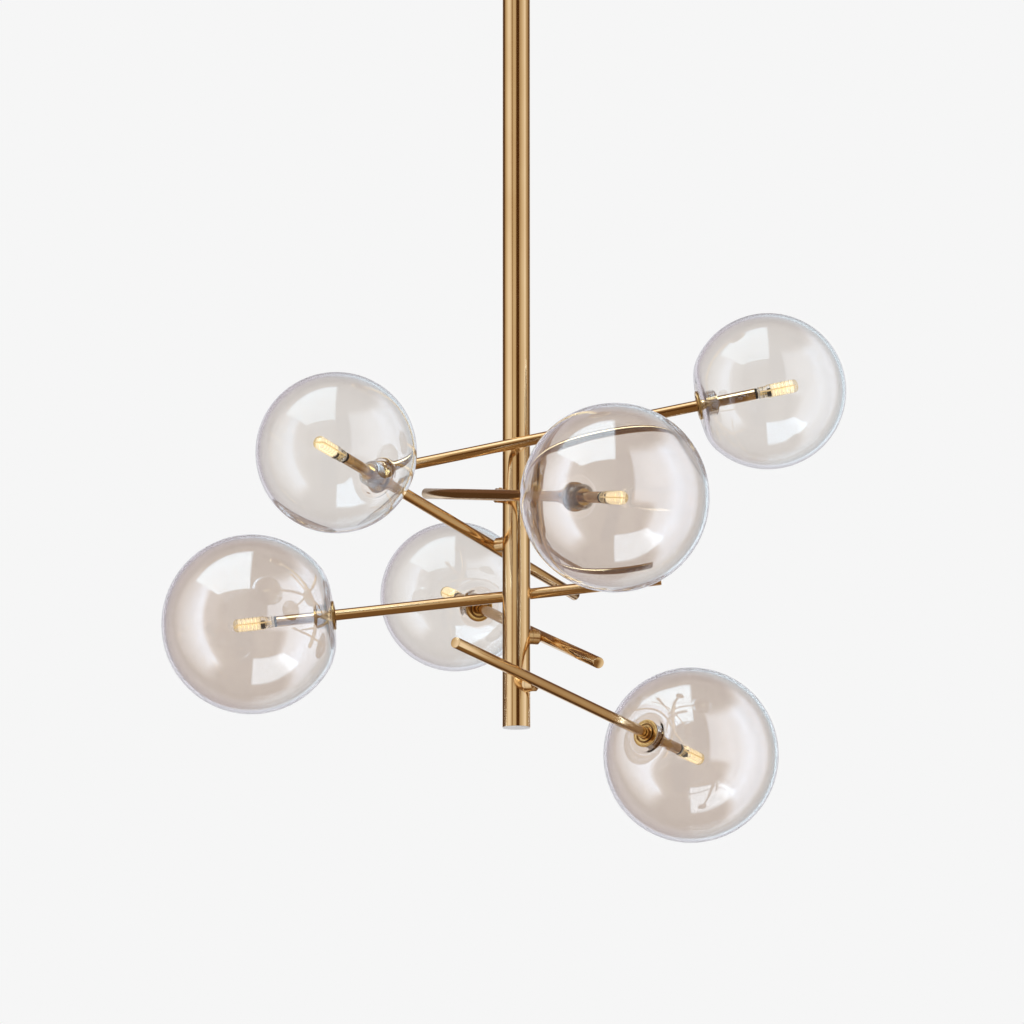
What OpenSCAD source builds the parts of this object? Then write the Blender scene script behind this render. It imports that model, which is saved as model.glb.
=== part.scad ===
// Branch chandelier for a ceiling. Six brass rods swivel on stubs that wind down round
// a plain stem, and each rod carries a clear glass globe with a capsule lamp inside it.
// The origin is the centre of the ceiling plane. +Z points up, so the light hangs below it.
// Arms are numbered 1 to 6 from the top stub down.

/* [Stem] */
// Drop from the ceiling to the lower end of the stem
drop = 720; // [600:10:1200]
// Outer diameter of the stem tube
stem_d = 25; // [22:0.5:30]
// Wall of the stem tube
stem_wall = 1.5; // [1:0.1:2.5]
// Depth of the plug in the lower end of the stem
end_plug_h = 8; // [4:1:15]
// Thickness of the pale disc that closes the stem
end_disc_h = 0.8; // [0.5:0.1:2]
// Length of the threaded plug in the top of the stem
top_plug_h = 16; // [12:1:24]

/* [Canopy] */
// Diameter of the canopy
canopy_d = 130; // [120:1:160]
// Height of the canopy
canopy_h = 30; // [28:1:45]
// Sheet thickness of the canopy
canopy_wall = 1.2; // [0.8:0.1:2]
// Radius of the canopy's rounded lower edge
canopy_round = 9; // [4:0.5:12]
// Diameter of the collar that holds the canopy up
collar_d = 36; // [33:1:44]
// Height of that collar
collar_h = 10; // [8:1:16]
// Diameter of the collar's locking screw
collar_screw_d = 4; // [3:0.5:5]

/* [Ceiling bracket] */
// Overall length of the bracket
bracket_l = 100; // [92:1:110]
// Width of the bracket
bracket_w = 22; // [20:1:28]
// Thickness of the bracket's steel
bracket_t = 2; // [1.5:0.5:3]
// Depth of the bracket from the ceiling to the underside of its bridge
bracket_depth = 12; // [11:0.5:14]
// Length of the bracket's raised bridge
bridge_l = 56; // [52:1:60]
// Distance between the two ceiling screws
screw_spacing = 78; // [74:1:82]
// Width of the slots for the ceiling screws
slot_w = 5; // [4:0.5:6]
// Length of those slots, end to end
slot_l = 10; // [8:0.5:12]
// Diameter of the threaded nipple
nipple_d = 10; // [8:0.5:12]
// Wire bore of the nipple
nipple_bore = 7; // [4:0.5:7.5]
// Height of the nipple's nuts
nut_h = 5; // [4:0.5:6]
// Size of those nuts across their flats
nut_af = 17; // [16:0.5:20]

/* [Swivel stubs] */
// Height of each stub above the lower end of the stem, from the top one down
stub_height = [253, 208.5, 167, 123.5, 82.5, 38];
// Direction that each stub points in, in degrees from +X
stub_azimuth = [-89, -153, 143, 88, 22, -36];
// Diameter of the stubs
stub_d = 13; // [12:0.5:15]
// Length of the stubs from the stem to their ends
stub_length = 10; // [9:0.5:14]
// Chamfer round the outer end of each stub
stub_chamfer = 2; // [0.5:0.25:2.5]
// Thickness of a stub's outer end, inside its chamfer
stub_end_wall = 2.2; // [1.5:0.1:3]
// Depth of the groove that the rod lies in
rod_notch = 0.3; // [0.1:0.1:1]
// Diameter of the hollow stud that a stub turns on
stud_d = 8; // [7:0.25:9]
// Wire bore of the stud
stud_bore = 5; // [3:0.25:5.5]
// Height of the stud's shoulder on the stem
shoulder_h = 1.2; // [0.8:0.1:2]
// Depth of the groove that the locking screw grips
groove_depth = 0.4; // [0.2:0.1:0.8]
// Diameter of the locking screws
grub_d = 3; // [2.5:0.5:4]
// Distance of the locking screws from the stem
grub_from_stem = 4; // [3.5:0.25:5]
// Height that the locking screws stand proud
grub_proud = 0.9; // [0.2:0.1:2]

/* [Rods] */
// Tilt of each rod, with its globe end up as positive, in degrees
rod_tilt = [12, -9, 13.5, -6, 17, -10];
// Diameter of the rods
rod_d = 10; // [9:0.25:11]
// Wall of the rods
rod_wall = 1; // [0.8:0.1:1.5]
// Length of a rod from its stub to its free end
rod_tail = 130; // [60:1:140]
// Length of a rod from its stub to the middle of the globe's flange
rod_reach = 166; // [150:1:200]
// Length of a rod inside the globe
rod_inside = 54; // [40:1:58]
// Thickness of the disc that closes the free end
rod_end_wall = 3; // [2:0.5:6]

/* [Globes] */
// Diameter of the larger globes
large_globe_d = 162; // [140:1:172]
// Diameter of the smaller globes
small_globe_d = 140; // [130:1:150]
// Which arms carry a larger globe
is_large = [false, true, false, true, false, true];
// Thickness of the glass
glass_wall = 3; // [2:0.25:4.5]
// Depth by which the globe is flattened at its neck
neck_sink = 7; // [6.5:0.5:8]
// Diameter of the hole in the neck
neck_hole_d = 21; // [19:0.5:24]
// Outer diameter of the thick lip round that hole
lip_d = 36; // [34:0.5:42]
// Thickness of the lip
lip_h = 5.5; // [5:0.25:7]

/* [Globe holders] */
// Diameter of the brass flange outside each globe
flange_d = 26; // [25:0.5:30]
// Thickness of the flange
flange_h = 1.6; // [1:0.1:3]
// Diameter of the turned step on the flange
step_d = 15.5; // [13:0.5:20]
// Height of that step
step_h = 0.6; // [0.3:0.1:1.2]
// Diameter of the flange's hub inside the neck
hub_d = 15; // [13:0.5:16]
// Length of the hub
hub_h = 17; // [16.5:0.5:19]
// Length of the clear bush inside the neck
bush_h = 16; // [14:0.5:16.5]
// Height of the rings round the bush
bush_ring_h = 1.1; // [0.6:0.1:1.4]
// Distance from ring to ring
bush_ring_pitch = 1.6; // [1.4:0.1:2.6]

/* [Lamps] */
// Diameter of the capsule lamps
lamp_d = 12; // [10:0.5:13]
// Length of the capsule lamps
lamp_l = 37; // [32:1:42]
// Diameter of the lamp's base
lamp_base_d = 9; // [8:0.25:9.5]
// Height of the lamp's base
lamp_base_h = 3; // [2:0.5:5]
// Distance between the lamp's pins
pin_pitch = 4; // [3.5:0.25:4.5]
// Diameter of the lamp's pins
pin_d = 0.7; // [0.6:0.05:0.9]
// Length of the lamp's pins
pin_l = 6; // [4:0.5:8]
// Length of the lamp holder
holder_h = 11; // [10:0.5:16]

/* [Clearances] */
// Radial gap of a sliding or turning fit
fit = 0.05; // [0.02:0.01:0.1]
// Gap between faces that move past each other
face_gap = 0.25; // [0.15:0.05:0.3]

/* [Hidden] */
ARMS = [1:6];
ARM_PARTS = [
    "rod", "swivel_stub", "stub_screw", "globe_flange",
    "neck_bush", "globe", "lamp_holder", "lamp"
];

BRASS = [0.80, 0.62, 0.34];
STEEL = [0.70, 0.71, 0.72];
GLASS = [0.86, 0.84, 0.82, 0.35];
CLEAR = [0.92, 0.92, 0.90, 0.5];
WHITE = [0.92, 0.91, 0.88];
LAMP = [1.0, 0.90, 0.66];

// Length that a cut runs past a face
over = 1;
end_disc_inset = 0.3;
stem_bore = stem_d - 2 * stem_wall;
nut_gap = 1;
stem_top = -(bracket_depth + nut_h + nut_gap);
nipple_top = -1.5;
// Steepness of the bracket's bent legs
leg_run = 6;
foot_hole_x = screw_spacing / 2;

stub_end = stem_d / 2 + stub_length;
seat_at = stem_d / 2 + shoulder_h;
stud_tip = stub_end - stub_end_wall - face_gap;
stud_tail = 2.5;
grub_at = stem_d / 2 + grub_from_stem;
groove_play = 0.6;
groove_w = grub_d + groove_play;
rod_offset = stub_end - rod_notch + rod_d / 2;

rod_bore = rod_d - 2 * rod_wall;
rod_tip = rod_reach + rod_inside;
rod_edge = 0.4;

flange_top = rod_reach + flange_h / 2;
glass_seat = 0.1;
neck_at = flange_top + glass_seat;
bead_r = (lip_h - glass_wall / 2) / 2;
bush_at = neck_at;
bush_neck_d = neck_hole_d - 0.5;

terminal_w = 10;
terminal_h = 11;
terminal_poles = 3;
pole_pitch = 6.5;
driver_size = [50, 26, 12];
driver_round = 2;
driver_rim_gap = 3.6;
canopy_floor_r = canopy_d / 2 - canopy_round;
driver_far = sqrt(pow(canopy_floor_r, 2) - pow(driver_size.x / 2, 2)) - driver_rim_gap;

$fn = 64;

function globe_r(n) = (is_large[n - 1] ? large_globe_d : small_globe_d) / 2;
function stub_z(n) = stub_height[n - 1] - drop;

// ---- Placing ----

// The line of stub n: +Z runs out from the stem's axis
module on_stub(n, r = 0) {
    translate([0, 0, stub_z(n)])
        rotate([0, 0, stub_azimuth[n - 1]])
            rotate([0, 90, 0])
                translate([0, 0, r])
                    children();
}

// The middle of rod n: +X points away from the stem and +Y runs to the globe
module on_arm(n) {
    translate([0, 0, stub_z(n)])
        rotate([0, 0, stub_azimuth[n - 1]])
            translate([rod_offset, 0, 0])
                rotate([rod_tilt[n - 1], 0, 0])
                    children();
}

// The line of rod n: +Z runs to the globe, from the stub
module on_rod(n, s = 0) {
    on_arm(n) rotate([-90, 0, 0]) translate([0, 0, s]) children();
}

module tube(outer_d, inner_d, h) {
    difference() {
        cylinder(d = outer_d, h = h);
        translate([0, 0, -over]) cylinder(d = inner_d, h = h + 2 * over);
    }
}

// A round bar with a chamfer at its far end
module chamfered_bar(d, h, chamfer) {
    cylinder(d = d, h = h - chamfer);
    translate([0, 0, h - chamfer]) cylinder(d1 = d, d2 = d - 2 * chamfer, h = chamfer);
}

// ---- Ceiling fixing ----

// Side view of the bracket: two feet on the ceiling and a bridge below them
module bracket_outline() {
    half = bracket_l / 2;
    bridge = bridge_l / 2;
    low = -bracket_depth;
    polygon([
        [-half, 0], [-half, -bracket_t], [-bridge - bracket_t, -bracket_t],
        [leg_run - bridge - bracket_t, low], [bridge + bracket_t - leg_run, low],
        [bridge + bracket_t, -bracket_t], [half, -bracket_t], [half, 0],
        [bridge, 0], [bridge - leg_run, low + bracket_t],
        [leg_run - bridge, low + bracket_t], [-bridge, 0]
    ]);
}

module ceiling_bracket() {
    color(STEEL) difference() {
        rotate([90, 0, 0]) translate([0, 0, -bracket_w / 2])
            linear_extrude(bracket_w) bracket_outline();
        translate([0, 0, -bracket_depth - over]) cylinder(d = nipple_d + 2 * fit, h = bracket_depth);
        for (side = [-1, 1]) translate([side * foot_hole_x, 0, -bracket_t - over]) slot_cut();
    }
}

module slot_cut() {
    reach = (slot_l - slot_w) / 2;
    h = bracket_t + 2 * over;
    for (side = [-1, 1]) translate([side * reach, 0, 0]) cylinder(d = slot_w, h = h);
    translate([-reach, -slot_w / 2, 0]) cube([2 * reach, slot_w, h]);
}

module nipple() {
    bottom = stem_top - top_plug_h;
    color(STEEL) translate([0, 0, bottom]) tube(nipple_d, nipple_bore, nipple_top - bottom);
}

// One nut on each side of the bracket's bridge
module nipple_nuts() {
    color(STEEL)
        for (z = [-bracket_depth - nut_h, bracket_t - bracket_depth])
            translate([0, 0, z]) hex_nut();
}

module hex_nut() {
    difference() {
        cylinder(d = nut_af / cos(30), h = nut_h, $fn = 6);
        translate([0, 0, -over]) cylinder(d = nipple_d + 2 * fit, h = nut_h + 2 * over);
    }
}

// Screw terminals under the bridge, beside the stem
module terminal_block() {
    length = terminal_poles * pole_pitch;
    color(WHITE) translate([stem_d / 2 + over, -length / 2, -bracket_depth - terminal_h])
        difference() {
            union() {
                cube([terminal_w, length, terminal_h * 0.6]);
                for (i = [0:terminal_poles - 1])
                    translate([terminal_w * 0.2, (i + 0.1) * pole_pitch, 0])
                        cube([terminal_w * 0.6, pole_pitch * 0.8, terminal_h]);
            }
            for (i = [0:terminal_poles - 1])
                translate([terminal_w / 2, (i + 0.5) * pole_pitch, -over])
                    cylinder(d = pole_pitch * 0.5, h = terminal_h * 0.5 + over);
            for (i = [0:terminal_poles - 1])
                translate([-over, (i + 0.5) * pole_pitch, terminal_h * 0.3])
                    rotate([0, 90, 0]) cylinder(d = pole_pitch * 0.45, h = terminal_w + 2 * over);
        }
}

// Potted low-voltage supply for the lamps, on the floor of the canopy
module lamp_driver() {
    r = driver_round;
    inner = [driver_size.x - 2 * r, driver_size.y - 2 * r];
    color(WHITE)
        translate([-driver_size.x / 2, driver_far - driver_size.y, canopy_wall - canopy_h]) union() {
            translate([r, 0, 0]) cube([inner.x, driver_size.y, driver_size.z]);
            translate([0, r, 0]) cube([driver_size.x, inner.y, driver_size.z]);
            for (x = [r, driver_size.x - r], y = [r, driver_size.y - r])
                translate([x, y, 0]) cylinder(r = r, h = driver_size.z);
        }
}

// Outline of the spun canopy: a flat floor, a rounded edge and a straight side
module canopy_outline(r, h, edge) {
    translate([0, -h]) square([r - edge, h]);
    translate([0, edge - h]) square([r, h - edge]);
    translate([r - edge, edge - h]) circle(r = edge);
}

module canopy() {
    color(BRASS) rotate_extrude() difference() {
        canopy_outline(canopy_d / 2, canopy_h, canopy_round);
        canopy_outline(canopy_d / 2 - canopy_wall, canopy_h - canopy_wall, canopy_round - canopy_wall);
        translate([-canopy_d, -canopy_h - over]) square([canopy_d + stem_d / 2 + fit, canopy_h + 2 * over]);
    }
}

module canopy_collar() {
    edge = 1;
    color(BRASS) translate([0, 0, -canopy_h - collar_h - fit]) difference() {
        rotate_extrude() polygon([
            [stem_d / 2 + fit, 0], [collar_d / 2 - edge, 0], [collar_d / 2, edge],
            [collar_d / 2, collar_h - edge], [collar_d / 2 - edge, collar_h], [stem_d / 2 + fit, collar_h]
        ]);
        translate([0, 0, collar_h / 2]) rotate([0, 90, 0])
            cylinder(d = collar_screw_d + 2 * fit, h = collar_d);
    }
}

module collar_screw() {
    color(STEEL) translate([stem_d / 2 + fit, 0, -canopy_h - collar_h / 2 - fit])
        rotate([0, 90, 0]) socket_screw(collar_screw_d, (collar_d - stem_d) / 2 - 0.5);
}

// A headless screw with a hexagon socket in its outer end
module socket_screw(d, h) {
    edge = d / 10;
    difference() {
        chamfered_bar(d, h, edge);
        translate([0, 0, h * 0.55]) cylinder(d = d * 0.55, h = h, $fn = 6);
    }
}

// ---- Stem ----

module stem() {
    bottom = end_disc_h - drop;
    color(BRASS) difference() {
        translate([0, 0, bottom]) tube(stem_d, stem_bore, stem_top - bottom);
        for (n = ARMS) on_stub(n) cylinder(d = stud_d + 2 * fit, h = stem_d);
    }
}

module stem_top_plug() {
    color(BRASS) translate([0, 0, stem_top - top_plug_h])
        tube(stem_bore - 2 * fit, nipple_d + 2 * fit, top_plug_h);
}

module stem_end_cap() {
    color(WHITE) translate([0, 0, -drop]) {
        cylinder(d = stem_d - 2 * end_disc_inset, h = end_disc_h);
        cylinder(d = stem_bore - 2 * fit, h = end_disc_h + end_plug_h);
    }
}

// Hollow shouldered studs, fixed in the stem's wall, that the stubs turn on
module stub_studs() {
    color(BRASS) for (n = ARMS) difference() {
        union() {
            on_stub(n, stem_bore / 2 - stud_tail)
                cylinder(d = stud_d, h = stud_tip - stem_bore / 2 + stud_tail);
            difference() {
                on_stub(n, stem_d / 4) cylinder(d = stub_d, h = seat_at - stem_d / 4);
                translate([0, 0, stub_z(n) - stub_d]) cylinder(d = stem_d + 2 * fit, h = 2 * stub_d);
            }
        }
        on_stub(n) cylinder(d = stud_bore, h = stud_tip + over);
        on_stub(n, grub_at - groove_w / 2) tube(stud_d + over, stud_d - 2 * groove_depth, groove_w);
    }
}

// ---- One arm ----

// Turning sleeve: a blind bore on the stud, and an outer end cut to the rod
module swivel_stub(n) {
    color(BRASS) difference() {
        on_arm(n) translate([-rod_offset, 0, 0]) rotate([0, 90, 0]) difference() {
            translate([0, 0, seat_at + face_gap])
                chamfered_bar(stub_d, stub_end - seat_at - face_gap, stub_chamfer);
            cylinder(d = stud_d + 2 * fit, h = stub_end - stub_end_wall);
            cylinder(d = stud_bore, h = stub_end + over);
        }
        on_rod(n, -stub_d) cylinder(d = rod_d + 2 * fit, h = 2 * stub_d);
        on_arm(n) translate([grub_at - rod_offset, 0, 0]) cylinder(d = grub_d + 2 * fit, h = stub_d);
    }
}

module stub_screw(n) {
    foot = stud_d / 2 - groove_depth + fit;
    color(STEEL) on_arm(n) translate([grub_at - rod_offset, 0, foot])
        socket_screw(grub_d, stub_d / 2 + grub_proud - foot);
}

// Tube with a closed free end, and a hole for the wires where the stub meets it
module rod(n) {
    length = rod_tail + rod_tip;
    color(BRASS) on_rod(n, -rod_tail) difference() {
        union() {
            cylinder(d1 = rod_d - 2 * rod_edge, d2 = rod_d, h = rod_edge);
            translate([0, 0, rod_edge]) cylinder(d = rod_d, h = length - rod_edge);
        }
        translate([0, 0, rod_end_wall]) cylinder(d = rod_bore, h = length);
        translate([0, 0, rod_tail]) rotate([0, -90, 0]) cylinder(d = stud_bore, h = rod_d);
    }
}

// Brass disc outside the glass, with a hub that reaches in through the neck
module globe_flange(n) {
    bore = rod_d / 2 + fit;
    color(BRASS) on_rod(n, rod_reach - flange_h / 2) rotate_extrude() polygon([
        [bore, -step_h], [step_d / 2, -step_h], [step_d / 2 + step_h, 0], [flange_d / 2 - 0.3, 0],
        [flange_d / 2, 0.3], [flange_d / 2, flange_h], [hub_d / 2, flange_h],
        [hub_d / 2, flange_h + hub_h], [bore, flange_h + hub_h]
    ]);
}

// Clear bush with rings, which grips the glass from inside the neck
module neck_bush(n) {
    ring_start = lip_h + 0.3;
    rings = floor((bush_h - ring_start) / bush_ring_pitch);
    root = bush_neck_d / 2;
    bore = hub_d / 2 + fit;
    color(CLEAR) on_rod(n, bush_at) rotate_extrude() polygon(concat(
        [[bore, 0], [root, 0], [root, ring_start]],
        [for (i = [0:rings - 1], p = [[1, 0.3], [1, 0.6], [0, 1]])
            [root + p[0] * bush_ring_h, ring_start + (i + p[1]) * bush_ring_pitch]],
        [[root, bush_h], [bore, bush_h]]
    ));
}

// Upright half of a globe's wall round its centre. The shoulder is an arc that touches the flat
// of the neck where it begins, and the globe's own circle on the line from the centre to [3, -4].
module glass_outline(r) {
    flat_r = 3 * neck_sink;
    arc = r - 5 * neck_sink;
    intersection() {
        ring(r);
        polygon([[0, 0], [1.5 * r, -2 * r], [3 * r, 2 * r], [0, 2 * r]]);
    }
    translate([flat_r, -4 * neck_sink]) intersection() {
        ring(arc);
        polygon([[0, 0], [0, -2 * arc], [1.5 * arc, -2 * arc]]);
    }
    translate([0, neck_sink - r]) square([flat_r, glass_wall]);
}

module ring(r) {
    difference() {
        circle(r = r);
        circle(r = r - glass_wall);
    }
}

// Blown glass: an even wall, and a thick rounded lip round the hole in the neck
module globe(n) {
    r = globe_r(n);
    flat = r - neck_sink;
    lip_foot = glass_wall / 2;
    color(GLASS) on_rod(n, neck_at + flat) rotate_extrude() difference() {
        union() {
            glass_outline(r);
            translate([0, lip_foot - flat]) square([lip_d / 2 - bead_r, lip_h - lip_foot]);
            translate([lip_d / 2 - bead_r, lip_foot + bead_r - flat]) circle(r = bead_r);
        }
        translate([-r, -flat - over]) square([r + neck_hole_d / 2, lip_h + 2 * over]);
    }
}

// Ceramic holder inside the end of the rod, with two contact holes
module lamp_holder(n) {
    color(WHITE) on_rod(n, rod_tip - face_gap - holder_h) difference() {
        cylinder(d = rod_bore - 2 * fit, h = holder_h);
        for (side = [-1, 1]) translate([side * pin_pitch / 2, 0, holder_h - pin_l - over])
            cylinder(d = pin_d + 0.3, h = pin_l + 2 * over);
    }
}

// Two-pin capsule lamp: pins, a narrow base and a long round-ended capsule
module lamp(n) {
    body_l = lamp_l - lamp_base_h;
    edge = (lamp_d - lamp_base_d) / 2;
    tip = lamp_d / 2;
    color(LAMP) on_rod(n, rod_tip + face_gap) {
        cylinder(d = lamp_base_d, h = lamp_base_h);
        translate([0, 0, lamp_base_h]) {
            cylinder(d1 = lamp_base_d, d2 = lamp_d, h = edge);
            translate([0, 0, edge]) cylinder(d = lamp_d, h = body_l - tip - edge);
            translate([0, 0, body_l - tip]) sphere(d = lamp_d);
        }
        for (side = [-1, 1]) translate([side * pin_pitch / 2, 0, -pin_l])
            cylinder(d = pin_d, h = pin_l + over);
    }
}

// ---- Nodes ----

ceiling_bracket();
nipple();
nipple_nuts();
terminal_block();
lamp_driver();
canopy();
canopy_collar();
collar_screw();
stem();
stem_top_plug();
stem_end_cap();
stub_studs();
for (n = ARMS) {
    rod(n);
    swivel_stub(n);
    stub_screw(n);
    globe_flange(n);
    neck_bush(n);
    globe(n);
    lamp_holder(n);
    lamp(n);
}
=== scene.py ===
import math

import bmesh
import bpy
from mathutils import Matrix


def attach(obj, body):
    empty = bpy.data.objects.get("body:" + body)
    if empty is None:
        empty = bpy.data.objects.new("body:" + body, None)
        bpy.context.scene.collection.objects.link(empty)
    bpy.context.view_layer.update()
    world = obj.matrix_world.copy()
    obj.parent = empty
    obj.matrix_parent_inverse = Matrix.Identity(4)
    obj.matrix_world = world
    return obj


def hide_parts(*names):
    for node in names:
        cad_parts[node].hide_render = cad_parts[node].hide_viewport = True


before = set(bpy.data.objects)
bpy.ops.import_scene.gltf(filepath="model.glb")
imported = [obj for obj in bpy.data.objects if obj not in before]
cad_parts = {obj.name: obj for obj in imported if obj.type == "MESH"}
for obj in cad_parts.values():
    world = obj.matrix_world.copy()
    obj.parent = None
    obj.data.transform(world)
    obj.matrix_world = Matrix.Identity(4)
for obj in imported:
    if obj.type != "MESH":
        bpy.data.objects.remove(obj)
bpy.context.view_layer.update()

# The pieces' lengths are in millimetres, as in the part's source, and MM turns them into metres.
# Camera, light and floor are in metres.
MM = 0.001
DROP = 720
# Arms from the top down: each stub's height above the stem's end, its direction, its rod's tilt
STUB_HEIGHT = (253, 208.5, 167, 123.5, 82.5, 38)
STUB_AZIMUTH = (-89, -153, 143, 88, 22, -36)
ROD_TILT = (12, -9, 13.5, -6, 17, -10)
IS_LARGE = (False, True, False, True, False, True)
# Rods: distance from the stem's axis, and ends measured from where the rod crosses its stub
ROD_OFFSET = 27.2
ROD_R = 5
ROD_BORE_R = 4.05
ROD_TAIL = 130
ROD_TIP = 220
# Flange and hub on the rod, and the play between pieces
FLANGE_R = 13
FLANGE_H = 1.6
HUB_R = 7.5
HUB_H = 17
FIT = 0.05
# Globes: where the neck's flat end is, how deep it is set into the globe, its hole and lip
NECK_AT = 166.9
NECK_SINK = 7
HOLE_R = 10.5
LIP_R = 18
LIP_H = 5.5
WALL = 3
LARGE_R = 81
SMALL_R = 70
BUSH_H = 16
# Lamps
LAMP_R = 6
LAMP_L = 37
LAMP_AT = ROD_TIP + 0.25

# A piece's mesh stands where the piece is, and this attribute keeps its points in its own frame.
OWN = "own_frame"


# ---- Placing and mesh helpers ----

def rod_frame(n):
    """The line of rod n: +Z runs to the globe, +X away from the stem and +Y down."""
    i = n - 1
    return (
        Matrix.Translation((0, 0, (STUB_HEIGHT[i] - DROP) * MM))
        @ Matrix.Rotation(math.radians(STUB_AZIMUTH[i]), 4, "Z")
        @ Matrix.Translation((ROD_OFFSET * MM, 0, 0))
        @ Matrix.Rotation(math.radians(ROD_TILT[i]), 4, "X")
        @ Matrix.Rotation(math.radians(-90), 4, "X")
    )


def arc(cx, cz, r, start, end, steps):
    """Points on an arc about (cx, cz), from start to end in degrees."""
    points = []
    for k in range(steps + 1):
        a = math.radians(start + (end - start) * k / steps)
        points.append((cx + r * math.cos(a), cz + r * math.sin(a)))
    return points


def tidy_points(points):
    """The same points without the ones that repeat."""
    kept = []
    for p in points:
        if not kept or math.dist(p[:2], kept[-1][:2]) > 1e-6:
            kept.append(p)
    return kept


def spin(bm, points, turns, index=0, closed=False):
    """Adds the surface that the profile points (r, z) sweep round the Z axis."""
    points = tidy_points(points)
    rings = []
    for r, z in points:
        if r < 1e-6:
            rings.append([bm.verts.new((0, 0, z * MM))])
            continue
        rings.append([
            bm.verts.new((
                r * MM * math.cos(2 * math.pi * k / turns),
                r * MM * math.sin(2 * math.pi * k / turns),
                z * MM,
            ))
            for k in range(turns)
        ])
    pairs = list(zip(rings, rings[1:]))
    if closed:
        pairs.append((rings[-1], rings[0]))
    faces = []
    for a, b in pairs:
        for k in range(turns):
            m = (k + 1) % turns
            if len(a) == 1 and len(b) == 1:
                continue
            if len(a) == 1:
                corners = (a[0], b[m], b[k])
            elif len(b) == 1:
                corners = (a[k], a[m], b[0])
            else:
                corners = (a[k], a[m], b[m], b[k])
            face = bm.faces.new(corners)
            face.material_index = index
            face.smooth = True
            faces.append(face)
    return faces


def block(bm, low, high, index=0, bevel=0.2):
    """Adds a box between two corners, with its edges rounded."""
    made = bmesh.ops.create_cube(bm, size=1)
    for v in made["verts"]:
        v.co = [
            (low[i] + (high[i] - low[i]) * (v.co[i] + 0.5)) * MM for i in range(3)
        ]
    edges = list({e for v in made["verts"] for e in v.link_edges})
    faces = list({f for v in made["verts"] for f in v.link_faces})
    for f in faces:
        f.material_index = index
    rounded = bmesh.ops.bevel(
        bm, geom=edges, offset=bevel * MM, segments=2, affect="EDGES", profile=0.5
    )
    for f in rounded["faces"]:
        f.material_index = index
        f.smooth = True


def piece(name, bm, materials, matrix, sharp=32):
    """Turns the mesh under way into an object with its edges sharp past an angle."""
    bmesh.ops.recalc_face_normals(bm, faces=bm.faces)
    for e in bm.edges:
        if len(e.link_faces) == 2 and e.calc_face_angle() > math.radians(sharp):
            e.smooth = False
    mesh = bpy.data.meshes.new(name)
    bm.to_mesh(mesh)
    bm.free()
    for m in materials:
        mesh.materials.append(m)
    own = mesh.attributes.new(OWN, "FLOAT_VECTOR", "POINT")
    for v, value in zip(mesh.vertices, own.data):
        value.vector = v.co
    mesh.transform(matrix)
    made = bpy.data.objects.new(name, mesh)
    bpy.context.scene.collection.objects.link(made)
    return made


# ---- Node helpers for materials ----

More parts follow.
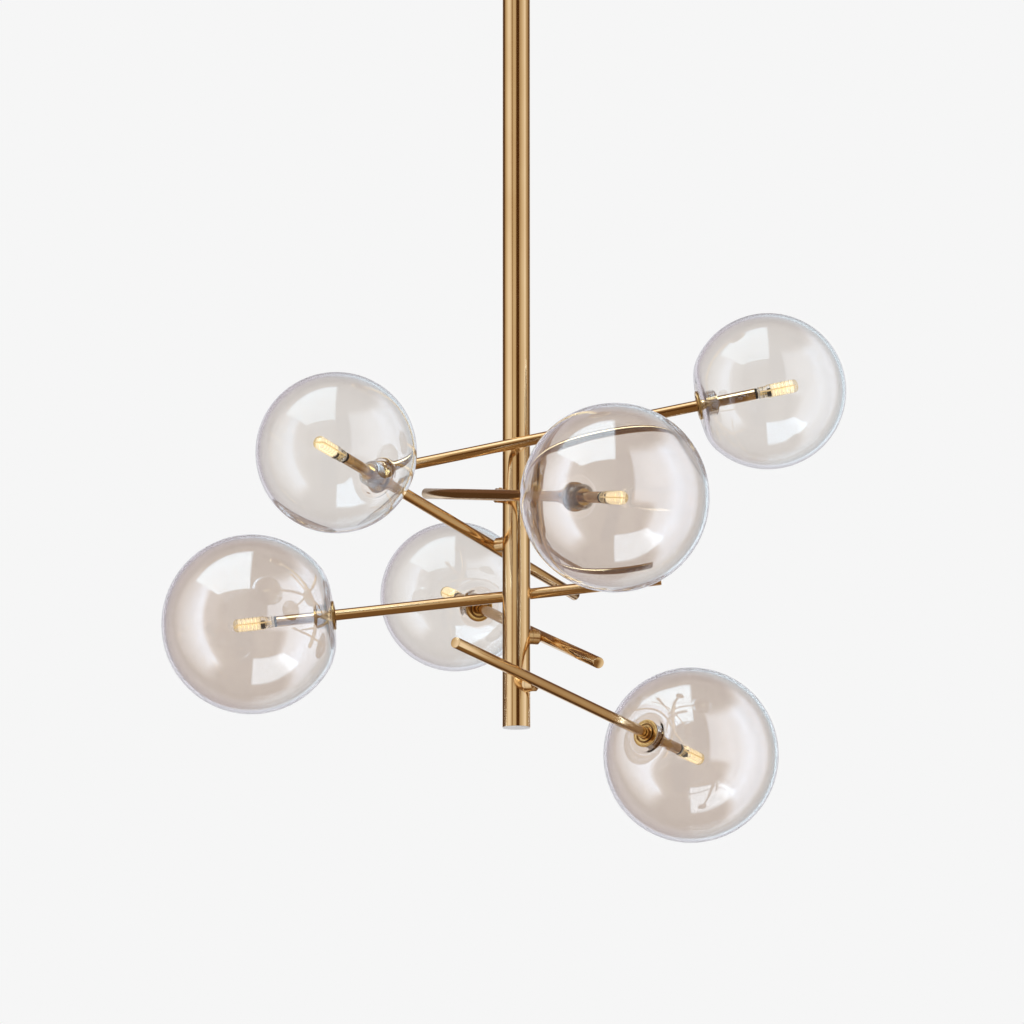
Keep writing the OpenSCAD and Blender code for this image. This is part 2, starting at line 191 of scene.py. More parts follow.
class Graph:
    """A few short words for building a node tree."""

    def __init__(self, tree):
        self.tree = tree
        tree.nodes.clear()

    def node(self, kind, **fields):
        made = self.tree.nodes.new(kind)
        for key, value in fields.items():
            setattr(made, key, value)
        return made

    def link(self, a, b):
        self.tree.links.new(a, b)

    def math(self, operation, a, b=None, clamp=False):
        made = self.node("ShaderNodeMath", operation=operation, use_clamp=clamp)
        for slot, value in enumerate((a, b)):
            if value is None:
                continue
            if isinstance(value, (int, float)):
                made.inputs[slot].default_value = value
            else:
                self.link(value, made.inputs[slot])
        return made.outputs[0]

    def smooth(self, value, low, high):
        """0 below low, 1 above high, and a soft step between them."""
        made = self.node("ShaderNodeMapRange", interpolation_type="SMOOTHSTEP")
        self.link(value, made.inputs["Value"])
        made.inputs["From Min"].default_value = low
        made.inputs["From Max"].default_value = high
        if low > high:
            made.inputs["From Min"].default_value = high
            made.inputs["From Max"].default_value = low
            made.inputs["To Min"].default_value = 1
            made.inputs["To Max"].default_value = 0
        return made.outputs[0]

    def place(self, own):
        """Where a point is, in the piece's own frame or in the whole part's."""
        if own:
            return self.node("ShaderNodeAttribute", attribute_name=OWN).outputs["Vector"]
        return self.node("ShaderNodeTexCoord").outputs["Object"]

    def round_axis(self):
        """Distance from the piece's own Z axis, and height along it."""
        split = self.node("ShaderNodeSeparateXYZ")
        self.link(self.place(True), split.inputs[0])
        x, y, z = split.outputs
        squares = [self.math("MULTIPLY", value, value) for value in (x, y)]
        away = self.math("SQRT", self.math("ADD", *squares))
        joined = self.node("ShaderNodeCombineXYZ")
        self.link(away, joined.inputs[0])
        self.link(z, joined.inputs[2])
        return joined.outputs[0]

    def noise(self, scale, stretch=(1, 1, 1), detail=2.0, rough=0.5, own=False, turned=False):
        """Noise with its scale per metre, stretched along the axes or drawn round the own Z axis."""
        mapping = self.node("ShaderNodeMapping")
        mapping.inputs["Scale"].default_value = stretch
        self.link(self.round_axis() if turned else self.place(own), mapping.inputs["Vector"])
        made = self.node("ShaderNodeTexNoise")
        self.link(mapping.outputs["Vector"], made.inputs["Vector"])
        made.inputs["Scale"].default_value = scale
        made.inputs["Detail"].default_value = detail
        made.inputs["Roughness"].default_value = rough
        return made.outputs["Fac"]

    def spread(self, value, low, high):
        """Maps noise from about 0.3 to 0.7 onto low to high."""
        made = self.node("ShaderNodeMapRange")
        self.link(value, made.inputs["Value"])
        made.inputs["From Min"].default_value = 0.3
        made.inputs["From Max"].default_value = 0.7
        made.inputs["To Min"].default_value = low
        made.inputs["To Max"].default_value = high
        return made.outputs[0]

    def ramp(self, value, stops):
        made = self.node("ShaderNodeValToRGB")
        ramp = made.color_ramp
        while len(ramp.elements) < len(stops):
            ramp.elements.new(0.5)
        for element, (at, colour) in zip(ramp.elements, stops):
            element.position = at
            element.color = (*colour, 1) if len(colour) == 3 else colour
        self.link(value, made.inputs["Fac"])
        return made.outputs["Color"]

    def blend(self, factor, a, b):
        """A mix of two colours, each a socket or three numbers."""
        made = self.node("ShaderNodeMix", data_type="RGBA")
        self.link(factor, made.inputs["Factor"])
        for slot, value in ((6, a), (7, b)):
            if isinstance(value, tuple):
                made.inputs[slot].default_value = (*value, 1)
            else:
                self.link(value, made.inputs[slot])
        return made.outputs[2]

    def scaled(self, colour, factor):
        """A colour made brighter or darker by a number or a socket."""
        made = self.node("ShaderNodeVectorMath", operation="SCALE")
        self.link(colour, made.inputs[0])
        if isinstance(factor, (int, float)):
            made.inputs["Scale"].default_value = factor
        else:
            self.link(factor, made.inputs["Scale"])
        return made.outputs[0]

    def over(self, share, below, above):
        """One shader laid over another by a share from 0 to 1."""
        mix = self.node("ShaderNodeMixShader")
        self.link(share, mix.inputs["Fac"])
        self.link(below, mix.inputs[1])
        self.link(above, mix.inputs[2])
        return mix.outputs[0]

    def bump(self, height, strength, distance):
        made = self.node("ShaderNodeBump")
        made.inputs["Strength"].default_value = strength
        made.inputs["Distance"].default_value = distance
        self.link(height, made.inputs["Height"])
        return made.outputs["Normal"]


def material(name):
    made = bpy.data.materials.new(name)
    made.use_nodes = True
    return made, Graph(made.node_tree)


def finish_surface(g, shader):
    out = g.node("ShaderNodeOutputMaterial")
    g.link(shader, out.inputs["Surface"])


def brass(
    name, stretch, own=False, tone=(0.93, 0.70, 0.42), rough=(0.07, 0.12), depth=0.05, turned=False
):
    """Drawn or turned brass: fine lines, which stretch can draw out, and faint cloudy tarnish."""
    made, g = material(name)
    p = g.node("ShaderNodeBsdfPrincipled")
    p.inputs["Metallic"].default_value = 1
    lines = g.noise(900, stretch, 3, 0.6, own, turned)
    cloud = g.noise(28, (1, 1, 0.35), 3, 0.55, own)
    darker = tuple(c * k for c, k in zip(tone, (0.90, 0.86, 0.80)))
    g.link(g.ramp(cloud, ((0.3, darker), (0.62, tone))), p.inputs["Base Color"])
    worn = g.math("ADD", g.spread(lines, rough[0], rough[1]), g.spread(cloud, 0.03, 0.0))
    g.link(worn, p.inputs["Roughness"])
    g.link(g.bump(lines, depth, 0.00004), p.inputs["Normal"])
    finish_surface(g, p.outputs[0])
    return made


def clear(name, tint, ior, rough=0.0, mirror=(0.0, 0.0), speck=False):
    """Glass or clear plastic. A coated face mirrors by one share on its front and one on its back."""
    made, g = material(name)
    p = g.node("ShaderNodeBsdfPrincipled")
    p.inputs["Base Color"].default_value = (*tint, 1)
    p.inputs["Transmission Weight"].default_value = 1
    p.inputs["IOR"].default_value = ior
    p.inputs["Roughness"].default_value = rough
    if speck:
        haze = g.noise(60, (1, 1, 1), 2)
        g.link(g.spread(haze, rough, rough + 0.03), p.inputs["Roughness"])
    shader = p.outputs[0]
    if any(mirror):
        gloss = g.node("ShaderNodeBsdfAnisotropic")
        gloss.inputs["Roughness"].default_value = 0.0
        behind = g.node("ShaderNodeNewGeometry").outputs["Backfacing"]
        share = g.math("MULTIPLY", behind, mirror[1] - mirror[0])
        shader = g.over(g.math("ADD", share, mirror[0]), shader, gloss.outputs[0])
    is_shadow = g.node("ShaderNodeLightPath").outputs["Is Shadow Ray"]
    through = g.node("ShaderNodeBsdfTransparent")
    through.inputs["Color"].default_value = (*[0.9 * math.sqrt(c) for c in tint], 1)
    finish_surface(g, g.over(is_shadow, shader, through.outputs[0]))
    return made


def solid(name, colour, rough, metallic=0.0, vary=0.08, bump=0.0, scale=300, shine=0.5):
    """Plain plastic, ceramic or plated steel with a little unevenness of tone and gloss."""
    made, g = material(name)
    p = g.node("ShaderNodeBsdfPrincipled")
    p.inputs["Metallic"].default_value = metallic
    p.inputs["Specular IOR Level"].default_value = shine
    cloud = g.noise(scale, (1, 1, 1), 3)
    darker = tuple(c * (1 - vary) for c in colour)
    g.link(g.ramp(cloud, ((0.3, darker), (0.7, colour))), p.inputs["Base Color"])
    g.link(g.spread(cloud, rough, rough + 0.08), p.inputs["Roughness"])
    if bump:
        g.link(g.bump(g.noise(scale * 6), bump, 0.00005), p.inputs["Normal"])
    finish_surface(g, p.outputs[0])
    return made


def glow(name, colour, strength, base):
    """A lit face: a pale phosphor that also sends light of its own."""
    made, g = material(name)
    p = g.node("ShaderNodeBsdfPrincipled")
    p.inputs["Base Color"].default_value = (*base, 1)
    p.inputs["Roughness"].default_value = 0.5
    cloud = g.noise(700, (1, 1, 1), 2)
    low = tuple(c * 0.9 for c in colour)
    g.link(g.ramp(cloud, ((0.3, low), (0.7, colour))), p.inputs["Emission Color"])
    p.inputs["Emission Strength"].default_value = strength
    finish_surface(g, p.outputs[0])
    return made


def veil(name, colour, strength, cover):
    """A thin lit layer that is nearly clear where it faces the eye and denser at its edges."""
    made, g = material(name)
    lit = g.node("ShaderNodeEmission")
    cloud = g.noise(500, (1, 1, 1), 2)
    low = tuple(c * 0.85 for c in colour)
    g.link(g.ramp(cloud, ((0.3, low), (0.7, colour))), lit.inputs["Color"])
    lit.inputs["Strength"].default_value = strength
    through = g.node("ShaderNodeBsdfTransparent")
    edge = g.node("ShaderNodeLayerWeight")
    edge.inputs["Blend"].default_value = 0.35
    share = g.math("MULTIPLY", edge.outputs["Facing"], cover[1] - cover[0])
    share = g.math("ADD", share, cover[0])
    finish_surface(g, g.over(share, through.outputs[0], lit.outputs[0]))
    return made


def ringed(name, face_tint, painted_edge_shade, shine):
    """Clear plastic: see-through where it faces the eye and shinier at its edges, where a painted
    brown shade and painted brass reflection tint it.
    """
    made, g = material(name)
    edge = g.node("ShaderNodeLayerWeight")
    edge.inputs["Blend"].default_value = 0.5
    through = g.node("ShaderNodeBsdfTransparent")
    # Towards the edges the see-through colour turns to the painted shade and reflection tint
    tint = g.ramp(edge.outputs["Facing"], ((0.25, face_tint), (0.85, painted_edge_shade)))
    g.link(tint, through.inputs["Color"])
    gloss = g.node("ShaderNodeBsdfAnisotropic")
    haze = g.noise(60, (1, 1, 1), 2)
    g.link(g.spread(haze, 0.02, 0.06), gloss.inputs["Roughness"])
    share = g.math("ADD", g.math("POWER", edge.outputs["Facing"], 3), shine, True)
    finish_surface(g, g.over(share, through.outputs[0], gloss.outputs[0]))
    return made


# Scale of the fine lines along each axis, where a small one draws them out
ALONG_Z = (1, 1, 0.012)
EVEN = (1, 1, 1)
BRASS_ROD = brass("brass_drawn_rod", ALONG_Z, own=True)
BRASS_STEM = brass("brass_drawn_stem", ALONG_Z)
BRASS_FLANGE = brass(
    "brass_turned_flange", EVEN, own=True, tone=(0.84, 0.62, 0.29), rough=(0.10, 0.20), depth=0.25,
    turned=True,
)
# Dark brass for the flange's recess and the boss round the rod: painted shade, darker than the brass
# it is cut in
BRASS_RECESS_SHADE = brass(
    "brass_recess_painted_shade", EVEN, own=True, tone=(0.34, 0.19, 0.08), rough=(0.25, 0.35), depth=0.1,
    turned=True,
)
BRASS_TURNED = brass("brass_turned", (0.2, 0.2, 1), depth=0.06)
BRASS_SMALL = brass("brass_small", EVEN, rough=(0.16, 0.24), depth=0.03)
GLASS_OUT = clear("glass_outer", (1, 1, 1), 1.5)
GLASS_NECK = clear("glass_neck", (0.89, 0.83, 0.78), 1.25)
COAT_SMALL = clear("glass_inner_grey", (0.87, 0.83, 0.795), 1.5, mirror=(0.03, 0.01))
COAT_LARGE = clear("glass_inner_champagne", (0.835, 0.73, 0.655), 1.5, mirror=(0.12, 0.085))
# Crests and grooves of the bush: the grooves' brown is painted shade and painted brass reflection,
# and the crests' faint warm edge tint is painted reflection
BUSH_CLEAR = ringed("bush_crest", (1, 1, 1), (0.94, 0.90, 0.87), 0.30)
BUSH_GROOVE_SHADE = ringed("bush_groove_painted_shade", (0.95, 0.90, 0.84), (0.66, 0.52, 0.41), 0.04)
LAMP_CLEAR = clear("lamp_envelope", (0.99, 0.975, 0.94), 1.42, 0.02, speck=True)
LAMP_BOARD = glow("lamp_board", (1.0, 0.74, 0.36), 0.55, (0.70, 0.58, 0.36))
LAMP_CHIP = glow("lamp_chip", (1.0, 0.93, 0.74), 0.85, (0.90, 0.82, 0.60))
LAMP_GEL = veil("lamp_gel", (1.0, 0.78, 0.42), 0.8, (0.10, 0.62))
LAMP_BLACK = solid("lamp_black", (0.03, 0.028, 0.026), 0.4)
LAMP_PIN = solid("lamp_pin", (0.82, 0.74, 0.58), 0.25, metallic=1.0)
CERAMIC = solid("ceramic_white", (0.80, 0.77, 0.71), 0.45, bump=0.2)
PLASTIC = solid("plastic_white", (0.78, 0.78, 0.76), 0.42, bump=0.15)
PALE_CAP = solid("cap_pale", (0.86, 0.86, 0.87), 0.38, bump=0.1)
ZINC = solid(
    "steel_zinc", (0.62, 0.64, 0.67), 0.28, metallic=1.0, vary=0.12, bump=0.1, scale=120
)
# Near black for the rod's lamp end, its rim and its bore: painted shade
ROD_END_SHADE = solid("rod_end_painted_shade", (0.016, 0.011, 0.008), 0.55, shine=0.2)


# ---- CAD nodes that stay, with their materials ----

def dress(node, made):
    """Gives every material slot of a CAD node one material."""
    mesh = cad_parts[node].data
    for i in range(len(mesh.materials)):
        mesh.materials[i] = made


dress("stem", BRASS_STEM)
for node in ("canopy", "canopy_collar", "stem_top_plug"):
    dress(node, BRASS_TURNED)
for node in ("collar_screw", "stub_studs"):
    dress(node, BRASS_SMALL)
for node in ("ceiling_bracket", "nipple", "nipple_nuts"):
    dress(node, ZINC)
for node in ("terminal_block", "lamp_driver"):
    dress(node, PLASTIC)
dress("stem_end_cap", PALE_CAP)
for n in range(1, 7):
    dress(f"swivel_stub_{n}", BRASS_SMALL)
    dress(f"stub_screw_{n}", BRASS_SMALL)
    dress(f"lamp_holder_{n}", CERAMIC)


# ---- Pieces of one arm ----

def make_rod(n):
    """A drawn tube, closed and chamfered at its free end; at the lamp end its rim and bore are near
    black with painted shade.
    """
    bm = bmesh.new()
    turns = 64
    rim_at = ROD_TIP - 2.2
    rim_r = ROD_R - 0.2
    socket_floor = 205
    spin(bm, [
        (0, -ROD_TAIL), (4.45, -ROD_TAIL), (4.8, 0.12 - ROD_TAIL), (ROD_R, 0.5 - ROD_TAIL),
        (ROD_R, -60), (ROD_R, 40), (ROD_R, rim_at - 0.2), (rim_r, rim_at),
    ], turns)
    # The rim and the bore at the lamp end take the painted shade
    spin(bm, [
        (rim_r, rim_at), (rim_r, ROD_TIP - 0.2), (ROD_R - 0.4, ROD_TIP), (ROD_BORE_R, ROD_TIP),
    ], turns, 1)
    spin(bm, [(ROD_BORE_R, ROD_TIP), (ROD_BORE_R, socket_floor), (0, socket_floor)], turns, 1)
    bmesh.ops.remove_doubles(bm, verts=bm.verts, dist=1e-6)
    return piece(f"drawn_rod_{n}", bm, [BRASS_ROD, ROD_END_SHADE], rod_frame(n))


def make_flange(n):
    """A turned disc with a stepped boss and a recess round it, and its hub in the neck. The recess
    and the boss next to the rod are darkened with painted shade.
    """
    bm = bmesh.new()
    bore = ROD_R + FIT
    boss_r = 7.6
    recess = (7.9, 9.3)
    recess_depth = 0.9
    face = NECK_AT - 0.1
    low = face - FLANGE_H
    boss = [
        (bore, low - 0.5), (5.8, low - 0.5), (6.0, low - 0.6), (boss_r, low - 0.6), (7.75, low - 0.5),
    ]
    disc = [
        (recess[0], low + recess_depth), (recess[1], low + recess_depth), (9.4, low + 0.1),
        (9.6, low), (11.7, low), (11.8, low + 0.12), (12.1, low + 0.12), (12.2, low), (12.6, low),
        (FLANGE_R - 0.12, low + 0.1), (FLANGE_R, low + 0.35), (FLANGE_R, face - 0.25),
        (FLANGE_R - 0.15, face),
    ]
    hub = [(HUB_R, face), (HUB_R, face + HUB_H), (bore, face + HUB_H)]
    for f in spin(bm, boss + disc + hub, 96, closed=True):
        middle = f.calc_center_median()
        away = math.hypot(middle.x, middle.y)
        in_shaded_recess = 7.8 * MM < away < 9.35 * MM and middle.z < (face - 0.1) * MM
        # The recess and the boss's inner ring by the rod take the dark brass of painted shade
        f.material_index = int(in_shaded_recess or away < 5.9 * MM)
    return piece(f"turned_flange_{n}", bm, [BRASS_FLANGE, BRASS_RECESS_SHADE], rod_frame(n))


def make_bush(n):
    """The clear ringed bush between hub and neck, with painted shade in its grooves."""
    bm = bmesh.new()
    bore, neck = HUB_R + FIT, HOLE_R - 0.2
    root, crest = 9.9, 11.35
    rings, pitch = 4, 2.4
    start = LIP_H + 0.3
    points = [(bore, 0), (neck, 0), (neck, start - 0.4), (root, start - 0.2)]
    for k in range(rings):
        at = start + k * pitch
        points += [
            (root, at + 0.5), (crest - 0.2, at + 0.75), (crest, at + 0.95), (crest, at + 1.6),
            (crest - 0.2, at + 1.8), (root, at + 2.05),
        ]
    points += [(root, BUSH_H - 0.2), (root - 0.2, BUSH_H), (bore, BUSH_H)]
    for f in spin(bm, [(r, z + NECK_AT) for r, z in points], 72, closed=True):
        middle = f.calc_center_median()
        # Faces in the grooves take the darker painted-shade material
        f.material_index = int(math.hypot(middle.x, middle.y) < (root + 0.4) * MM)
    return piece(f"ringed_bush_{n}", bm, [BUSH_CLEAR, BUSH_GROOVE_SHADE], rod_frame(n), 50)


def make_globe(n):
    """Blown glass, flattened at the neck, with a thick lip round the hole and a coated inner face."""
    ball = LARGE_R if IS_LARGE[n - 1] else SMALL_R
    coat = COAT_LARGE if IS_LARGE[n - 1] else COAT_SMALL
    turns = 128
    flat = 3 * NECK_SINK
    low = NECK_SINK - ball
    join = math.degrees(math.atan2(-4, 3))
    bevel, round_r = 0.4, 0.6
    rim_in, rim_out = LIP_R - 4.5, LIP_R + 1.5
    slope_steps = 12
    bm = bmesh.new()

    def shell(inset):
        """From the flat of the neck over the shoulder's arc and round the globe to its far end."""
        return (
            arc(flat, -4 * NECK_SINK, ball - 5 * NECK_SINK - inset, -90, join, 10)
            + arc(0, 0, ball - inset, join, 90, 60)
        )

    spin(bm, [(HOLE_R + bevel, low), (rim_out, low)], turns, 1)
    spin(bm, [(rim_out, low)] + shell(0), turns, 0)
    lip_top = low + LIP_H
    lip = [(HOLE_R + bevel, low), (HOLE_R, low + bevel), (HOLE_R, lip_top - round_r)]
    lip += arc(HOLE_R + round_r, lip_top - round_r, round_r, 180, 90, 3)
    for k in range(slope_steps + 1):
        share = k / slope_steps
        fall = (1 - math.cos(math.pi * share)) / 2
        lip.append((rim_in + (rim_out - rim_in) * share, lip_top - (LIP_H - WALL) * fall))
    spin(bm, lip, turns, 1)
    spin(bm, [lip[-1]] + shell(WALL), turns, 2)
    bmesh.ops.remove_doubles(bm, verts=bm.verts, dist=1e-6)
    at = rod_frame(n) @ Matrix.Translation((0, 0, (NECK_AT + ball - NECK_SINK) * MM))
    return piece(f"blown_globe_{n}", bm, [GLASS_OUT, GLASS_NECK, coat], at, 40)


def make_lamp(n):
    """A two-pin capsule lamp: clear envelope, board with lit chips on both faces, and its pins."""
    envelope_look, board_look, chip_look, part_look, pin_look, collar_look, gel_look = range(7)
    bm = bmesh.new()
    ridges, ridge_pitch = 4, 1.9
    dome_r = 4
    shoulder = LAMP_L - dome_r
    envelope = [(0, 0), (4.3, 0), (4.5, 0.2)]
    for k in range(ridges):
        at = 0.9 + ridge_pitch * k
        envelope += [(4.9, at), (5.35, at + 0.35), (5.35, at + 0.95), (4.9, at + 1.3)]
    envelope += [(5.2, 8.6), (5.75, 9.2), (LAMP_R, 9.9), (LAMP_R, shoulder)]
    envelope += arc(LAMP_R - dome_r, shoulder, dome_r, 0, 90, 10) + [(0, LAMP_L)]
    spin(bm, envelope, 48, envelope_look)
    board_w, board_t = 4.6, 0.45
    block(bm, (-board_w, -board_t, 2), (board_w, board_t, 34), board_look, 0.2)
    rows, row_pitch, chip_h = 6, 3.4, 2.5
    full_w, end_w = 1.75, 1.3
    for face in (-1, 1):
        for side in (-1, 1):
            for k in range(rows):
                low_z = 13.2 + row_pitch * k
                low_y, high_y = sorted((face * 0.5, face * 3.7))
                half_w = end_w if k == rows - 1 else full_w
                low_x = 2.1 - full_w if side > 0 else full_w - 2.1 - 2 * half_w
                high_x = low_x + 2 * half_w
                block(bm, (low_x, low_y, low_z), (high_x, high_y, low_z + chip_h), chip_look, 0.35)
    # A thin lit shell round the chips, so that they shine together
    outer = [(4.4, 12.4), (5.5, 13)] + arc(1.2, 31.6, 4.3, 0, 90, 10) + [(0, 35.9)]
    inner = [(4.2, 12.9), (5.2, 13.4)] + arc(1.2, 31.6, 4.0, 0, 90, 10) + [(0, 35.6)]
    spin(bm, outer + inner[::-1], 48, gel_look, True)
    # The small dark parts and the leads at the foot of the board
    block(bm, (-1.9, 0.5, 9), (1.9, 3.3, 12.4), part_look, 0.3)
    block(bm, (0.6, -1.7, 9.6), (2.6, -0.4, 12.2), part_look, 0.25)
    for side in (-1, 1):
        block(bm, (side * 2.6 - 0.8, 0.4, 4.2), (side * 2.6 + 0.8, 1.2, 8.4), pin_look, 0.2)
    spin(bm, [(4.2, 0.4), (5.0, 0.4), (5.0, 1.3), (4.2, 1.3)], 48, collar_look, True)
    pin_r = 0.35
    for side in (-1, 1):
        pin = spin(bm, [(0, -6), (0.25, -6), (pin_r, -5.8), (pin_r, 4), (0, 4)], 12, pin_look)
        for v in {v for f in pin for v in f.verts}:
            v.co.x += side * 2 * MM
    looks = [LAMP_CLEAR, LAMP_BOARD, LAMP_CHIP, LAMP_BLACK, LAMP_PIN, CERAMIC, LAMP_GEL]
    at = rod_frame(n) @ Matrix.Translation((0, 0, LAMP_AT * MM))
    return piece(f"capsule_lamp_{n}", bm, looks, at, 40)


MAKERS = (
    (make_rod, "rod", "brass"),
    (make_flange, "globe_flange", "brass"),
    (make_bush, "neck_bush", "clear_plastic"),
    (make_globe, "globe", None),
    (make_lamp, "lamp", "lamp"),
)
for n in range(1, 7):
    for make, node, slot in MAKERS:
        made = make(n)
        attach(made, f"arm_{n}")
        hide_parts(f"{node}_{n}")
        glass = "champagne_glass" if IS_LARGE[n - 1] else "clear_glass"


# ---- Camera ----

camera_data = bpy.data.cameras.new("photo_camera")
camera_data.lens = 183.33
camera_data.sensor_width = 36
camera_data.clip_end = 50
camera = bpy.data.objects.new("photo_camera", camera_data)
bpy.context.scene.collection.objects.link(camera)
camera.location = (-0.00389, -4.6153, -1.2783)
camera.rotation_euler = (math.radians(90 + 9.27), 0, 0)
bpy.context.scene.camera = camera


# ---- Studio ----

# The page behind the part, and the even light that reaches matt surfaces
PAGE = (0.9216, 0.9216, 0.9216)
MATT_LIGHT = (0.70, 0.70, 0.71)

# Brightness round the horizon: 0 faces the camera, and positive is to its right.
METAL_AROUND = (
    (-180, 0.10), (-118, 0.14), (-104, 0.50), (-64, 0.90), (-42, 0.72), (-38, 0.38), (-33, 0.38),
    (-26, 0.65), (-6, 0.65), (3, 0.20), (24, 0.14), (27, 0.50), (66, 0.80), (78, 0.93), (95, 0.57),
    (110, 0.45), (126, 0.40), (147, 0.08), (180, 0.06),
)
GLASS_AROUND = (
    (-180, 0.08), (-118, 0.12), (-104, 0.40), (-86, 0.66), (-72, 0.88), (-66, 0.88), (-58, 0.16),
    (-40, 0.10), (3, 0.05), (22, 0.03), (25, 0.62), (66, 0.74), (84, 0.96), (110, 0.76),
    (131, 0.70), (147, 0.24), (180, 0.08),
)
# Brightness above and below that band, and of the ceiling
GLASS_OFF_BAND = 0.05
METAL_OFF_BAND = 0.28
METAL_CEILING = 0.40
# The colour for each brightness
METAL_COLOURS = (
    (0, (0.05, 0.018, 0.005)), (0.20, (0.08, 0.035, 0.012)), (0.35, (0.28, 0.175, 0.085)),
    (0.65, (0.62, 0.54, 0.42)), (1, (1.05, 1.06, 1.12)),
)
GLASS_COLOURS = (
    (0, (0.05, 0.045, 0.045)), (0.35, (0.31, 0.31, 0.33)), (0.65, (0.59, 0.66, 0.75)),
    (1, (0.92, 1.12, 1.38)),
)
# The light box on the ceiling, as metal, near glass and deep glass mirror it
METAL_BOX = (1.40, 1.36, 1.30)
NEAR_BOX = (2.9, 3.6, 4.1)
DEEP_BOX = (2.9, 3.9, 4.9)
# What is mirrored past the first wall alone is brighter than what lies deeper.
FIRST_GLASS = 2.1
ALL_GLASS = 1.1
DEEP_GLASS = 0.75

world = bpy.data.worlds.new("studio")
world.use_nodes = True
# The studio shows in mirrored light only, so it isn't sampled as a lamp.
world.cycles.sampling_method = "NONE"
bpy.context.scene.world = world
g = Graph(world.node_tree)


def times(a, b):
    return g.math("MULTIPLY", a, b)


def plus(a, b):
    return g.math("ADD", a, b)


def either(a, b):
    return g.math("MAXIMUM", a, b)


def past(value, limit):
    return g.math("GREATER_THAN", value, limit)


def off_back(inner, outer):
    """1 within an angle of +Y, the way the photograph's camera looks, 0 past the other."""
    return g.smooth(y, math.cos(math.radians(outer)), math.cos(math.radians(inner)))


def round_horizon(stops):
    """Brightness by the direction round the horizon."""
    return g.ramp(around, [((angle + 180) / 360, (t, t, t)) for angle, t in stops])


# Directions: x, y and z, then turn and rise in degrees
split = g.node("ShaderNodeSeparateXYZ")
g.link(g.node("ShaderNodeTexCoord").outputs["Generated"], split.inputs[0])
x, y, z = split.outputs
DEGREES = 180 / math.pi
turn = times(g.math("ARCTAN2", x, times(y, -1)), DEGREES)
rise = times(g.math("ARCSINE", z), DEGREES)
around = g.math("DIVIDE", plus(turn, 180), 360)
side = g.math("ABSOLUTE", turn)
tall = g.math("ABSOLUTE", rise)

# Brightness of the walls, in a band round the horizon that is dark low down in front
front_low = times(g.smooth(side, 60, 40), g.smooth(rise, -8, -18))
in_band = times(g.smooth(tall, 60, 42), g.math("SUBTRACT", 1, front_low))
off_band = g.math("SUBTRACT", 1, in_band)
glass_shade = plus(times(round_horizon(GLASS_AROUND), in_band), times(off_band, GLASS_OFF_BAND))
metal_shade = plus(times(round_horizon(METAL_AROUND), in_band), times(off_band, METAL_OFF_BAND))
metal_shade = either(metal_shade, times(g.smooth(rise, 35, 50), METAL_CEILING))

# Where the light box is, on a flat ceiling
up = either(z, 0.001)
flat_x = g.math("DIVIDE", x, up)
flat_y = g.math("DIVIDE", y, up)
box_x = times(g.smooth(flat_x, -1.32, -1.2), g.smooth(flat_x, 0.03, -0.03))
raised = times(box_x, g.smooth(z, 0.3, 0.35))
box = times(raised, times(g.smooth(flat_y, -1.27, -1.15), g.smooth(flat_y, 0.26, 0.16)))
metal_box = times(raised, times(g.smooth(flat_y, -0.95, -0.75), g.smooth(flat_y, 0.10, -0.05)))
deep_box = times(box, g.smooth(flat_y, -0.08, -0.2))

# How many faces of glass the light has passed, two to a wall: none, one or two, or more
path = g.node("ShaderNodeLightPath")
in_glass = past(path.outputs["Transmission Depth"], 0.5)
deep = past(path.outputs["Transmission Depth"], 2.5)
near = g.math("SUBTRACT", in_glass, deep)

# What is mirrored before any glass, mostly in metal
walls = g.ramp(metal_shade, METAL_COLOURS)
metal = g.blend(metal_box, walls, METAL_BOX)
high = g.smooth(z, 0.3, 0.5)
metal_back = g.blend(off_back(28, 33), (0.09, 0.05, 0.025), (0.76, 0.75, 0.78))
metal_back = g.blend(high, metal_back, (0.16, 0.09, 0.06))
metal = g.blend(either(off_back(56, 62), times(off_back(66, 74), high)), metal, metal_back)

# What is mirrored past a face of glass
glass = g.scaled(g.ramp(glass_shade, GLASS_COLOURS), plus(times(near, FIRST_GLASS), ALL_GLASS))
glass = g.blend(deep, glass, g.scaled(walls, DEEP_GLASS))
glass_box = plus(times(near, box), times(deep, deep_box))
glass = g.blend(glass_box, glass, g.blend(deep, NEAR_BOX, DEEP_BOX))
glass_back = g.blend(g.smooth(x, -0.3, 0.3), (0.74, 0.70, 0.76), (0.90, 1.02, 1.10))
glass_back = g.blend(g.smooth(tall, 42, 62), glass_back, (0.47, 0.43, 0.44))
glass_back = g.blend(deep, glass_back, (0.46, 0.42, 0.42))
glass_back = g.blend(off_back(6, 24), glass_back, (0.60, 0.585, 0.63))
glass = g.blend(off_back(50, 66), glass, glass_back)

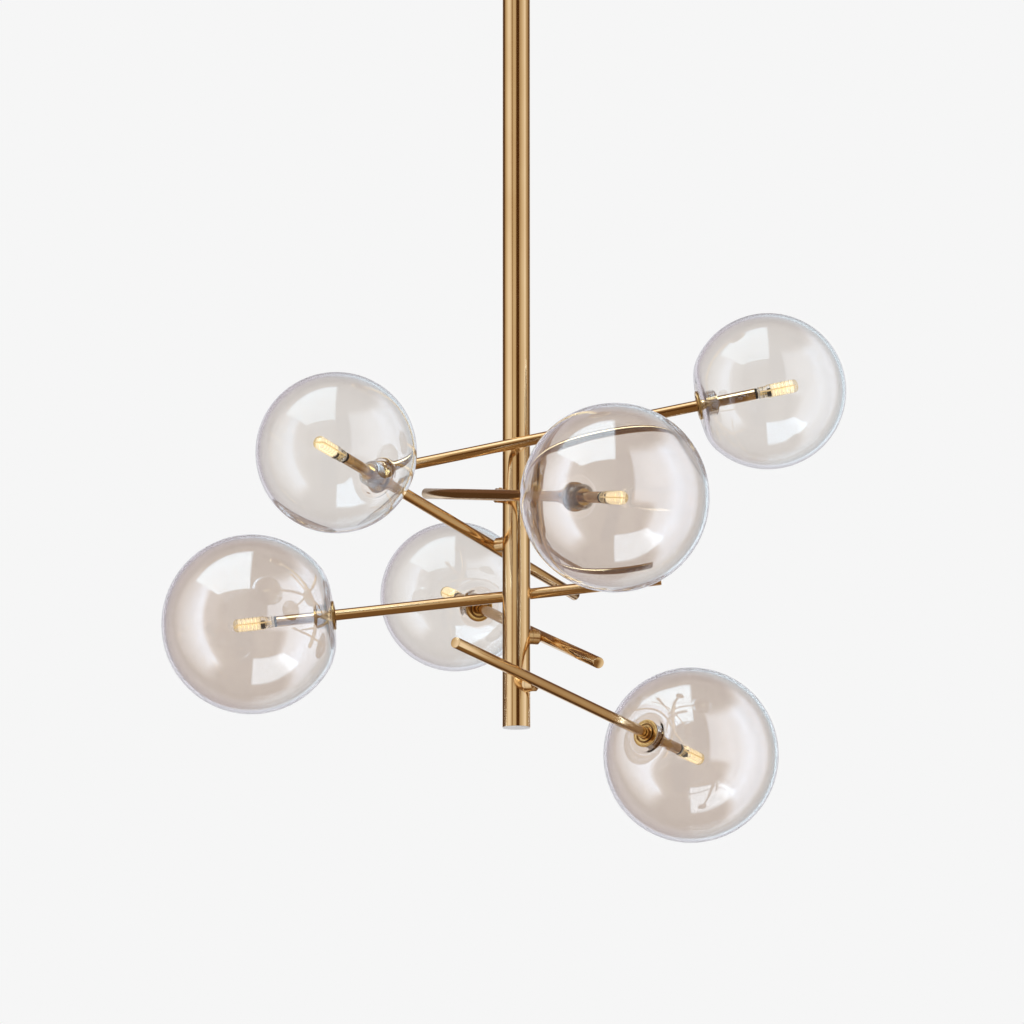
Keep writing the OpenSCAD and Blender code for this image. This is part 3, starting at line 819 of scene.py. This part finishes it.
# Mirrored light sees the studio. The camera sees the page, and matt surfaces the even light.
is_diffuse = path.outputs["Is Diffuse Ray"]
mirrored = past(path.outputs["Glossy Depth"], 0.5)
mirrored = times(mirrored, g.math("SUBTRACT", 1, is_diffuse))
plain = g.blend(is_diffuse, PAGE, MATT_LIGHT)
background = g.node("ShaderNodeBackground")
g.link(g.blend(mirrored, plain, g.blend(in_glass, metal, glass)), background.inputs["Color"])
out = g.node("ShaderNodeOutputWorld")
g.link(background.outputs[0], out.inputs["Surface"])

key_data = bpy.data.lights.new("key", "AREA")
key_data.shape = "SQUARE"
key_data.size = 1.4
key_data.energy = 26
key_data.color = (1, 0.98, 0.95)
key = bpy.data.objects.new("key", key_data)
bpy.context.scene.collection.objects.link(key)
key.location = (-1.6, -2.2, 1.4)
key.rotation_euler = (-key.location).to_track_quat("-Z", "Y").to_euler()
key.visible_camera = False
key.visible_glossy = False
key.visible_transmission = False


# ---- Floor ----

FLOOR_Z = -1.5
FLOOR_HALF = 20
FLOOR_TONES = ((0.3, (0.91, 0.91, 0.91)), (0.7, (0.94, 0.94, 0.94)))


def make_floor():
    """A pale floor that is clear from below, so that it doesn't hide the part."""
    look, g = material("floor_pale")
    p = g.node("ShaderNodeBsdfPrincipled")
    p.inputs["Roughness"].default_value = 0.8
    g.link(g.ramp(g.noise(3, (1, 1, 1), 4), FLOOR_TONES), p.inputs["Base Color"])
    below = g.node("ShaderNodeNewGeometry").outputs["Backfacing"]
    through = g.node("ShaderNodeBsdfTransparent")
    finish_surface(g, g.over(below, p.outputs[0], through.outputs[0]))
    bm = bmesh.new()
    bmesh.ops.create_grid(bm, x_segments=2, y_segments=2, size=FLOOR_HALF)
    for v in bm.verts:
        v.co.z = FLOOR_Z
    mesh = bpy.data.meshes.new("floor")
    bm.to_mesh(mesh)
    bm.free()
    mesh.materials.append(look)
    made = bpy.data.objects.new("floor", mesh)
    bpy.context.scene.collection.objects.link(made)
    made.visible_glossy = False
    made.visible_transmission = False
    return made


make_floor()

bpy.context.scene.view_settings.view_transform = "Standard"
